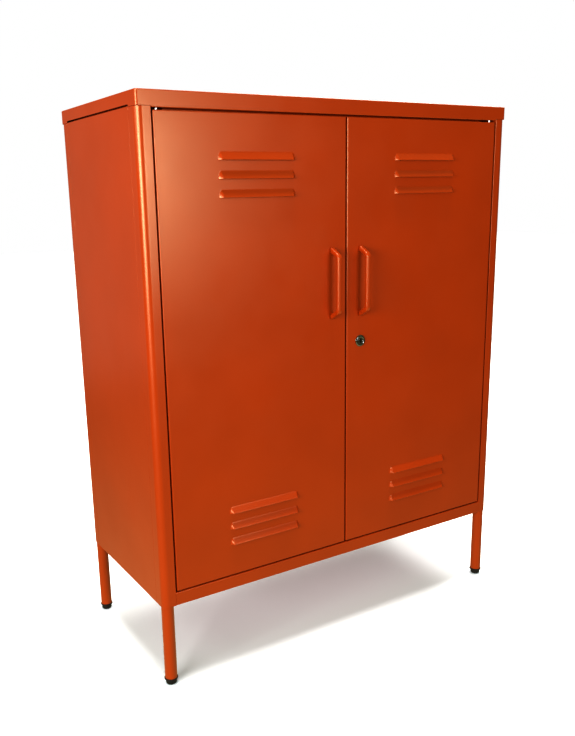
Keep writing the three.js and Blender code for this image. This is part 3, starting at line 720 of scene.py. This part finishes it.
def pan_screw(head_radius, head_height, shank_radius, length):
    """Pan head screw with a cross recess, its head towards +Z and its seat at zero."""
    profile = softened([
        (0, -length), (shank_radius * 0.7, -length), (shank_radius, -length + 0.6), (shank_radius, 0),
        (head_radius, 0), (head_radius, head_height * 0.55),
        (head_radius * 0.62, head_height), (0, head_height),
    ], [0, 0, 0, 0.1, 0.2, head_height * 0.4, head_height * 0.5, 0], 4)
    screw = turned("screw", profile, 40)
    wide, slim, deep = head_radius * 0.55, head_radius * 0.13, head_height * 0.65
    arms = [
        block(-x, x, -y, y, head_height - deep, head_height + THROUGH)
        for x, y in ((wide, slim), (slim, wide))
    ]
    return bevelled(cut(screw, *arms), 0.05, 1)


def leg_screw():
    """Screw that holds a leg in its post, with its head towards the inside of the locker."""
    box = Box("front_left_leg_screw")
    head = 2.8
    screw = pan_screw(head_radius=4.5, head_height=head, shank_radius=2.3, length=9)
    return moved(screw, to=(box.x1 - head, box.y, box.z), turn=("Y", 90))


def shelf_clip():
    """Bent clip that hooks into a slot of the post and carries the shelf."""
    box = Box("lower_clip_front_left")
    wall, under = box.y0 + 3.3, box.z1 - 3.7
    line = [(-2.6, -3), (-2.6, 3), (1.2, 3), (1.2, -1.3), (13, -1.3)]
    outline = [(wall + y, under + z) for y, z in folded_strip(line, 1.4, 1.0)]
    return bevelled(extruded("clip", outline, "x", box.x0, box.x1), 0.25, 2)


def catch_case():
    """Moulded case of the magnetic catch, open at the front where the magnet looks out."""
    box, magnet = Box("left_catch_case"), Box("left_catch_magnet")
    outline = rounded_rect(box.x0, box.x1, box.z0, box.z1, [2.5, 2.5, 0.6, 0.6], 5)
    case = bevelled(extruded("case", outline, "y", box.y0, box.y1), 0.7, 3)
    pocket = block(
        magnet.x0 - GAP, magnet.x1 + GAP, box.y0 - THROUGH, magnet.y1 + GAP,
        magnet.z0 - GAP, magnet.z1 + GAP,
    )
    groove_half, groove_depth, groove_pitch = 0.6, 0.8, 6
    grooves = []
    for step in range(-2, 3):
        x = box.x + step * groove_pitch
        grooves.append(block(
            x - groove_half, x + groove_half, box.y0 - THROUGH, box.y1 + THROUGH,
            box.z0 - THROUGH, box.z0 + groove_depth,
        ))
    return bevelled(cut(case, pocket, *grooves), 0.2, 2)


def catch_magnet():
    """Magnet block between two pole plates, which stand a little proud of it."""
    box = Box("left_catch_magnet")
    plate, proud = 2, 0.6
    whole = block(box.x0, box.x1, box.y0, box.y1, box.z0, box.z1)
    between = block(
        box.x0 - THROUGH, box.x1 + THROUGH, box.y0 - THROUGH, box.y0 + proud,
        box.z0 + plate, box.z1 - plate,
    )
    return bevelled(cut(whole, between), 0.25, 2)


def pivot_pin(node, collar):
    """Steel pivot pin, riveted into the rail, with its head outside and a domed end in the bush. Heights
    start at the rail's inner face. The collar is what a lower pin carries its door on."""
    box = Box(node)
    radius = PIN_RADIUS
    seat = SHEET + GAP
    top = seat + PIN_HEAD_HEIGHT
    points = [(0, -PIN_LENGTH), (radius, -PIN_LENGTH)]
    rounds = [0, 1.2]
    if collar:
        points += [(r, -PIN_COLLAR_DEPTH) for r in (radius, PIN_COLLAR_RADIUS)]
        points += [(r, -GAP) for r in (PIN_COLLAR_RADIUS, radius)]
        rounds += [0.2, 0.4, 0.2, 0.1]
    points += [(radius, seat), (PIN_HEAD_RADIUS, seat), (PIN_HEAD_RADIUS - 0.4, top), (0, top)]
    rounds += [0.1, 0.3, 0.8, 0]
    return moved(turned("pin", softened(points, rounds, 4), 40), to=(box.x, box.y, box.z1 - top))


def pivot_bush():
    """Nylon bush: its neck fills the hole in the door's end, and the collar under it tapers to the foot."""
    box = Box("right_upper_bush")
    low = box.z0 - box.z1
    shoulder = -SHEET - GAP
    taper_top = shoulder - 1.5
    points = [
        (BUSH_BORE, 0), (BUSH_NECK, 0), (BUSH_NECK, shoulder), (BUSH_COLLAR, shoulder),
        (BUSH_COLLAR, taper_top), (BUSH_COLLAR - 1, low), (BUSH_BORE, low),
    ]
    profile = softened(points, [0.3, 0.4, 0.1, 0.4, 0.5, 0.5, 0.3], 4)
    return moved(turned("bush", profile, 40, closed=True), to=(box.x, box.y, box.z1))


# ---- doors, made on the right ----
def louvre_lips(door):
    """Heights of the lower lips of a door's louvres."""
    upper = [door.z1 - LOUVRE_MARGIN - LOUVRE_HEIGHT - i * LOUVRE_PITCH for i in range(LOUVRES)]
    lower = [door.z0 + LOUVRE_MARGIN + i * LOUVRE_PITCH for i in range(LOUVRES)]
    return sorted(upper + lower)


def louvre_reach(across, above):
    """How far a louvre stands out, across from its middle and above its lip. It slopes out evenly between
    two soft bends, and its lip curls back a little."""
    past = max(abs(across) - LOUVRE_LENGTH / 2 + LOUVRE_END, 0) / LOUVRE_END
    t = min(math.hypot(past, above / LOUVRE_HEIGHT), 1)
    crest, root = 0.15, 0.2  # share of the slope taken by each bend
    fall = t * t / (2 * crest) if t < crest else t - crest / 2
    fall -= max(t - 1 + root, 0) ** 2 / (2 * root)
    swell = 1 - fall / (1 - crest / 2 - root / 2)
    down = max(1 - above / LOUVRE_LIP_ROUND, 0)
    curl = LOUVRE_LIP_ROUND * (1 - math.sqrt(1 - down * down))
    return (LOUVRE_REACH - curl) * swell


def door_panel(locked):
    """A folded pan. Its face is a grid that follows the louvres, with an open slit under each lip."""
    box = Box("right_door_panel")
    mid = box.x
    half = LOUVRE_LENGTH / 2
    end_steps, lip_steps, row_steps = 12, 4, 11
    ends = [LOUVRE_END * k / end_steps for k in range(end_steps + 1)]
    curl = [LOUVRE_LIP_ROUND * (1 - math.cos(TAU / 4 * k / lip_steps)) for k in range(lip_steps)]
    heights = curl + [
        LOUVRE_LIP_ROUND + (LOUVRE_HEIGHT - LOUVRE_LIP_ROUND) * k / row_steps for k in range(row_steps + 1)
    ]
    columns = sorted({box.x0, box.x1, *(mid - half + e for e in ends), *(mid + half - e for e in ends)})
    lips = louvre_lips(box)
    rows = sorted({box.z0, box.z1, *(lip + height for lip in lips for height in heights)})

    def lip_under(z):
        below = [lip for lip in lips if lip - 0.001 <= z <= lip + LOUVRE_HEIGHT + 0.001]
        return below[0] if below else None

    def point(x, z, lip):
        """A point of the face. lip is the louvre that the face above or below belongs to, if any."""
        reach = louvre_reach(x - mid, z - lip) if lip is not None and abs(x - mid) < half else 0
        return (x, FRONT - reach, z)

    faces = []
    for z0, z1 in zip(rows, rows[1:]):
        lip = lip_under((z0 + z1) / 2)
        for x0, x1 in zip(columns, columns[1:]):
            faces.append([point(x0, z0, lip), point(x1, z0, lip), point(x1, z1, lip), point(x0, z1, lip)])
    back = box.y1
    for x, inward in ((box.x0, 1), (box.x1, -1)):
        edge = [(x, FRONT, z) for z in rows]
        faces.append([*edge, (x, back, box.z1), (x, back, box.z0)])
        lap = x + inward * DOOR_RETURN
        faces.append([
            (x, back, box.z0), (x, back, box.z1),
            (lap, back, box.z1 - DOOR_END_RETURN), (lap, back, box.z0 + DOOR_END_RETURN),
        ])
    for z, inward in ((box.z0, 1), (box.z1, -1)):
        edge = [(x, FRONT, z) for x in columns]
        faces.append([*edge, (box.x1, back, z), (box.x0, back, z)])
        lap = z + inward * DOOR_END_RETURN
        faces.append([
            (box.x0, back, z), (box.x1, back, z),
            (box.x1 - DOOR_RETURN, back, lap), (box.x0 + DOOR_RETURN, back, lap),
        ])
    pan = sheet("door", faces, (0, -1, 0), fold=DOOR_FOLD, edge=0)
    bush = Box("right_upper_bush")
    holes = [
        moved(drill(BUSH_NECK + GAP, z - THROUGH, z + THROUGH, 32), to=(bush.x, bush.y, 0))
        for z in (box.z0, box.z1)
    ]
    if locked:
        holes.append(facing_user(drill(BARREL_RADIUS + LOCK_HOLE_GAP, -THROUGH, THROUGH)))
    return cut(pan, *holes)


def hat_section(box, crown_half, bend, edge_steps):
    """Upright strip with a raised middle and a flange at each side."""
    seat, crown = box.y0 + THIN_SHEET / 2, box.y1 - THIN_SHEET / 2
    near, far = box.x - crown_half, box.x + crown_half
    line = [(box.x0, seat), (near, seat), (near, crown), (far, crown), (far, seat), (box.x1, seat)]
    strip = extruded("hat", folded_strip(line, THIN_SHEET, bend), "z", box.z0, box.z1)
    return bevelled(strip, 0.15, edge_steps)


def door_stiffener():
    """Hat section glued behind the door's face."""
    return hat_section(Box("right_door_stiffener"), crown_half=15, bend=1.6, edge_steps=1)


def bolt_guide():
    """Small hat section that holds the slide bolt against the door."""
    bolt = Box("door_bolt")
    return hat_section(Box("bolt_guide"), crown_half=(bolt.x1 - bolt.x0) / 2 + 0.7, bend=0.8, edge_steps=2)


def handle():
    """Bridge handle: two slanted ends and a straight grip, rounded all round."""
    box = Box("right_handle")
    half = (box.z1 - box.z0) / 2
    grip = HANDLE_GRIP / 2
    inner_grip = grip - 5
    outer_bend, inner_bend = 11, 7
    base, top = box.y1, box.y0
    under = top + HANDLE_THICK
    shape = [
        (base, -half), (top, -grip), (top, grip), (base, half),
        (base, half - HANDLE_FOOT), (under, inner_grip), (under, -inner_grip), (base, -half + HANDLE_FOOT),
    ]
    outline = softened(shape, [0, outer_bend, outer_bend, 0, 0, inner_bend, inner_bend, 0], 8)
    outline = [(y, box.z + z) for y, z in outline]
    bar = extruded("handle", outline, "x", box.x0, box.x1)
    return bevelled(bar, HANDLE_ROUND, 4, angle=70)


def door_bolt():
    """Flat slide bolt with a rounded nose and a thumb tab."""
    box = Box("door_bolt")
    strip_outline = rounded_rect(box.x0, box.x1, box.z0, box.z1, [1.5, 1.5, 3, 3])
    strip = extruded("bolt", strip_outline, "y", box.y0, box.y0 + 3)
    tab_outline = rounded_rect(box.x0, box.x1, box.y0 + 1, box.y1, [0.2, 0.2, 2.5, 2.5])
    tab = extruded("tab", tab_outline, "z", box.z0 + 8, box.z0 + 12)
    return bevelled(combine(strip, "UNION", tab), 0.4, 3)


# ---- lock, about its own axis with the key side towards +Z, then turned to face the user ----
def facing_user(obj):
    """Turned from its own axis to the lock's place in the door."""
    body = Box("lock_body")
    return moved(obj, to=(body.x, FRONT, body.z), turn=("X", 90))


def thread(angle, height, radius):
    """Depth of the screw thread on the lock's barrel."""
    thread_start, thread_end = -17, -1.5
    if abs(radius - BARREL_RADIUS) > 0.01 or not thread_start <= height <= thread_end:
        return 0
    phase = (height / THREAD_PITCH - angle / TAU) % 1
    return -THREAD_DEPTH * abs(2 * phase - 1)


def lock_body():
    """Threaded barrel with a rounded bezel round the plug's bore."""
    box = Box("lock_body")
    face = FRONT - box.y0
    tail = FRONT - box.y1
    bore, rim = 6.3, (box.x1 - box.x0) / 2
    step = 0.2
    barrel = [(BARREL_RADIUS, tail + 0.5 + step * k) for k in range(int((-tail - 0.6) / step))]
    bezel = softened([
        (BARREL_RADIUS, GAP), (rim, GAP), (rim, face - 1.4), (rim - 1.4, face - 0.2), (7.8, face),
        (bore, face - 0.7),
    ], [0, 0.3, 0.8, 0.8, 0.6, 0], 5, closed=False)
    profile = [(bore, tail), (BARREL_RADIUS - 0.5, tail), *barrel, *bezel]
    return facing_user(turned("lock", profile, 96, closed=True, wave=thread))


def lock_nut():
    """Hexagon nut with its corners turned down to a cone at both faces."""
    box = Box("lock_nut")
    low, high = FRONT - box.y1, FRONT - box.y0
    radius = (box.x1 - box.x0) / 2
    wide, slim, chamfer = radius * 1.01, radius * 0.9, 0.9
    nut = turned("nut", [(0, low), (radius, low), (radius, high), (0, high)], 6)
    cone = turned("cone", [
        (0, low), (slim, low), (wide, low + chamfer), (wide, high - chamfer), (slim, high), (0, high),
    ], 64)
    combine(nut, "INTERSECT", cone)
    cut(nut, drill(BARREL_RADIUS + GAP, low - THROUGH, high + THROUGH, 64))
    return facing_user(bevelled(nut, 0.15, 2, angle=40))


def lock_plug():
    """Turning plug with the keyway, and the square that carries the cam."""
    box = Box("lock_plug")
    face = FRONT - box.y0
    tail = FRONT - box.y1
    radius, dish_radius, dish = 6, 5, 0.35
    points = [
        (0, SHOULDER), (radius, SHOULDER), (radius, face),
        (dish_radius + 0.2, face), (dish_radius, face - dish), (0, face - dish),
    ]
    plug = turned("plug", softened(points, [0, 0.3, 0.35, 0.1, 0.1, 0], 3), 64)
    square = block(-SQUARE_HALF, SQUARE_HALF, -SQUARE_HALF, SQUARE_HALF, tail, SHOULDER + 1)
    keyway_outline = [
        (-0.9, -3.6), (0.9, -3.6), (0.9, -0.8), (0.35, -0.3), (0.9, 0.3),
        (0.9, 3.6), (-0.9, 3.6), (-0.9, 1.4), (-0.4, 0.9), (-0.9, 0.4),
    ]
    keyway_floor, screw_hole_radius, screw_hole_depth = -4, 1.7, 6
    keyway = extruded("keyway", keyway_outline, "z", keyway_floor, face + THROUGH)
    screw_hole = drill(screw_hole_radius, tail - THROUGH, tail + screw_hole_depth, 24)
    return facing_user(cut(combine(plug, "UNION", square), keyway, screw_hole))


def lock_cam():
    """Flat cam with a square hole. It is round about the plug and narrows to its rounded end."""
    box, axis = Box("lock_cam"), Box("lock_body")
    hub_radius, end_radius, end_offset = 8, 4, 2
    end_z = box.z0 + end_radius
    outline = arc(axis.x, axis.z, hub_radius, TAU / 2, -TAU / 2, 20)
    outline += arc(axis.x + end_offset, end_z, end_radius, 0, -TAU / 4, 6)
    outline += arc(axis.x - end_offset, end_z, end_radius, -TAU / 4, -TAU / 4, 6)
    plate = extruded("cam", outline, "y", box.y0, box.y1)
    half = SQUARE_HALF + 0.2
    hole = block(
        axis.x - half, axis.x + half, box.y0 - THROUGH, box.y1 + THROUGH, axis.z - half, axis.z + half,
    )
    return bevelled(cut(plate, hole), 0.3, 3)


def rear_screw(node, head_radius, head_height, shank_radius, length):
    """Screw driven from behind the door towards its front."""
    box = Box(node)
    screw = pan_screw(head_radius, head_height, shank_radius, length)
    return moved(screw, to=(box.x, box.y1 - head_height, box.z), turn=("X", -90))


def cam_screw():
    return rear_screw("lock_cam_screw", head_radius=4.4, head_height=2.2, shank_radius=1.4, length=4.5)


def handle_screw():
    return rear_screw("right_handle_lower_screw", head_radius=4, head_height=2.4, shank_radius=1.9, length=7)


def build_carcass():
    place(top_cap(), "top_cap")
    place(bottom_tray(), "bottom_tray")
    left = side_panel()
    place(copied(left, "side", mirror=ACROSS), "right_side_panel")
    place(left, "left_side_panel")
    place(back_panel(), "back_panel")
    for make, part in ((corner_post, "post"), (leg, "leg"), (foot, "foot"), (leg_screw, "leg_screw")):
        master = make()
        for row, hand in CORNERS:
            place(to_corner(master, row, hand, part), f"{row}_{hand}_{part}")
    clip = shelf_clip()
    low = Box("lower_clip_front_left").z0
    for level in ("lower", "upper"):
        for row, hand in CORNERS:
            node = f"{level}_clip_{row}_{hand}"
            there = copied(to_corner(clip, row, hand, "clip"), "clip", to=(0, 0, Box(node).z0 - low))
            place(there, node)
    board = shelf()
    place(copied(board, "shelf", to=(0, 0, Box("upper_shelf").z1 - Box("lower_shelf").z1)), "upper_shelf")
    place(board, "lower_shelf")
    for make, part in ((catch_case, "catch_case"), (catch_magnet, "catch_magnet")):
        master = make()
        place(copied(master, part, mirror=ACROSS), f"right_{part}")
        place(master, f"left_{part}")
    for hand in ("left", "right"):
        upper, lower = f"{hand}_upper_pin", f"{hand}_lower_pin"
        place(pivot_pin(upper, collar=False), upper)
        upside_down = (2, Box(lower).z)
        place(copied(pivot_pin(lower, collar=True), "pin", mirror=upside_down), lower)


HANDS = (("right", None), ("left", ACROSS))  # doors are made on the right and mirrored to the left


def build_doors():
    for hand, mirror in HANDS:
        place(copied(door_panel(locked=hand == "right"), "door", mirror=mirror), f"{hand}_door_panel")
    for make, part in ((door_stiffener, "door_stiffener"), (handle, "handle")):
        master = make()
        for hand, mirror in HANDS:
            place(copied(master, part, mirror=mirror), f"{hand}_{part}")
    screw = handle_screw()
    low = Box("right_handle_lower_screw").z
    for hand, mirror, levels in (("right", None, ("lower", "upper")), ("left", ACROSS, ("upper", "lower"))):
        for level in levels:
            node = f"{hand}_handle_{level}_screw"
            place(copied(screw, "screw", to=(0, 0, Box(node).z - low), mirror=mirror), node)
    bush = pivot_bush()
    door = Box("right_door_panel")
    for hand, mirror in HANDS:
        upper = copied(bush, "bush", mirror=mirror)
        lower = copied(upper, "bush", mirror=(2, door.z))
        place(upper, f"{hand}_upper_bush")
        place(lower, f"{hand}_lower_bush")
    place(bolt_guide(), "bolt_guide")
    place(door_bolt(), "door_bolt")
    place(lock_body(), "lock_body")
    place(lock_nut(), "lock_nut")
    place(lock_plug(), "lock_plug")
    place(lock_cam(), "lock_cam")
    place(cam_screw(), "lock_cam_screw")


# ---- stage: floor, light and camera ----
FLOOR_HALF = 12000.0
FLOOR_SHINE = 0.26
FLOOR_SHINE_TINT = (0.4, 0.7, 0.85, 1)  # cool against the warm glow: the shadow stays light and grey


def floor():
    bm = bmesh.new()
    for x, y in ((-1, -1), (1, -1), (1, 1), (-1, 1)):
        bm.verts.new((x * FLOOR_HALF * MM, y * FLOOR_HALF * MM, 0))
    bm.faces.new(bm.verts)
    obj = new_object("floor", bm)
    pale = Finish("floor")
    pale.colour(pale.noise(900), (0.86, 0.86, 0.86), (0.88, 0.88, 0.88))
    pale.roughness(pale.noise(300), 0.75, 0.85)
    pale.set(Specular_IOR_Level=0.2, Emission_Color=FLOOR_SHINE_TINT, Emission_Strength=FLOOR_SHINE)
    obj.data.materials.append(pale.material)
    obj.visible_glossy = False
    obj.visible_diffuse = False
    obj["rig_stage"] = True


# name, azimuth from the doors' normal, height, distance, (width, height of the light), watts, colour
LAMPS = [
    ("front_window", 15, 975, 2600, (900, 690), 28, (1, 0.97, 1)),
    ("side_window", -63, 1000, 2600, (1500, 1000), 84, (1, 1, 1)),
    ("rear_light", -150, 700, 2600, (2600, 1400), 3.2, (1, 1, 1)),
    ("left_light", -97, 1250, 1000, (500, 400), 2.8, (1, 1, 1)),
    ("back_light", 122, 2800, 2600, (2000, 1400), 100, (1, 1, 1)),
]
AIM = (-380, -162, 860)  # the upper left corner of the doors
OVERHEAD = 3.7
OVERHEAD_SPREAD = 20  # degrees
GLOW = 0.16  # of the room's walls
FLOOR_GLOW = 0.85
CEILING_GLOW = 0.4
WARM = (1, 0.95, 0.52, 1)
CONTRAST = 1.4


def lamp(name, azimuth, height, distance, size, power, tint):
    """Soft box on a circle round the aim, which it faces. A positive azimuth is to the user's right."""
    light = bpy.data.lights.new(name, "AREA")
    light.shape = "RECTANGLE"
    light.size, light.size_y = (s * MM for s in size)
    light.energy = power
    light.color = tint
    obj = bpy.data.objects.new(name, light)
    angle = math.radians(azimuth)
    x0, y0, z0 = AIM
    spot = Vector((x0 + distance * math.sin(angle), y0 - distance * math.cos(angle), height)) * MM
    obj.location = spot
    aim = Vector(AIM) * MM - spot
    obj.rotation_euler = aim.to_track_quat("-Z", "Y").to_euler()
    bpy.context.scene.collection.objects.link(obj)


def overhead():
    """Even soft light straight down, which keeps the floor pale as far as it is seen."""
    light = bpy.data.lights.new("overhead", "SUN")
    light.energy = OVERHEAD
    light.angle = math.radians(OVERHEAD_SPREAD)
    obj = bpy.data.objects.new("overhead", light)
    obj.location = (0, 0, 3)
    bpy.context.scene.collection.objects.link(obj)


def surroundings():
    """White to the camera. To everything else it is a dim glow, stronger from the floor and ceiling."""
    world = bpy.data.worlds.new("studio")
    world.use_nodes = True
    nodes, links = world.node_tree.nodes, world.node_tree.links
    seen = nodes["Background"]
    seen.inputs["Color"].default_value = (1, 1, 1, 1)
    seen.inputs["Strength"].default_value = 1.0
    glow = nodes.new("ShaderNodeBackground")
    glow.inputs["Color"].default_value = WARM
    direction = nodes.new("ShaderNodeTexCoord").outputs["Generated"]
    height = nodes.new("ShaderNodeSeparateXYZ")
    links.new(direction, height.inputs["Vector"])
    strength = nodes.new("ShaderNodeMath")
    # how far up the glow starts to change and where it has changed, and what it changes from and to
    changes = ((-0.2, -0.55, GLOW, FLOOR_GLOW), (0.3, 0.7, 0, CEILING_GLOW - GLOW))
    for term, (start, end, low, high) in zip(strength.inputs, changes):
        change = nodes.new("ShaderNodeMapRange")
        change.interpolation_type = "SMOOTHSTEP"
        for name, value in (("From Min", start), ("From Max", end), ("To Min", low), ("To Max", high)):
            change.inputs[name].default_value = value
        links.new(height.outputs["Z"], change.inputs["Value"])
        links.new(change.outputs["Result"], term)
    links.new(strength.outputs["Value"], glow.inputs["Strength"])
    path, mix = nodes.new("ShaderNodeLightPath"), nodes.new("ShaderNodeMixShader")
    links.new(path.outputs["Is Camera Ray"], mix.inputs["Fac"])
    links.new(glow.outputs["Background"], mix.inputs[1])
    links.new(seen.outputs["Background"], mix.inputs[2])
    links.new(mix.outputs["Shader"], nodes["World Output"].inputs["Surface"])
    bpy.context.scene.world = world


VIEWPOINT = (-900.3, -1327.2, 859.6)
VIEW_ANGLES = (31.189, -13.816, -1.334)  # heading, tilt and lean in degrees
SENSOR = 36
LENS = 38.60
LENS_SHIFT = (0.0393, 0.0291)


def camera():
    heading, tilt, lean = (math.radians(a) for a in VIEW_ANGLES)
    ahead = Vector((math.sin(heading), math.cos(heading), 0))
    forward = ahead * math.cos(tilt) + Vector((0, 0, math.sin(tilt)))
    level = forward.cross(Vector((0, 0, 1))).normalized()
    upright = level.cross(forward)
    right = level * math.cos(lean) + upright * math.sin(lean)
    up = upright * math.cos(lean) - level * math.sin(lean)
    data = bpy.data.cameras.new("camera")
    data.sensor_width = SENSOR
    data.lens = LENS
    data.shift_x, data.shift_y = LENS_SHIFT
    data.clip_start = 0.01
    obj = bpy.data.objects.new("camera", data)
    matrix = Matrix((right, up, -forward)).transposed().to_4x4()
    matrix.translation = Vector(VIEWPOINT) * MM
    obj.matrix_world = matrix
    bpy.context.scene.collection.objects.link(obj)
    bpy.context.scene.camera = obj


build_carcass()
build_doors()
clear_unused()
floor()
for settings in LAMPS:
    lamp(*settings)
overhead()
surroundings()
camera()
bpy.context.scene.view_settings.view_transform = "Standard"
bpy.context.scene.view_settings.gamma = 1 / CONTRAST
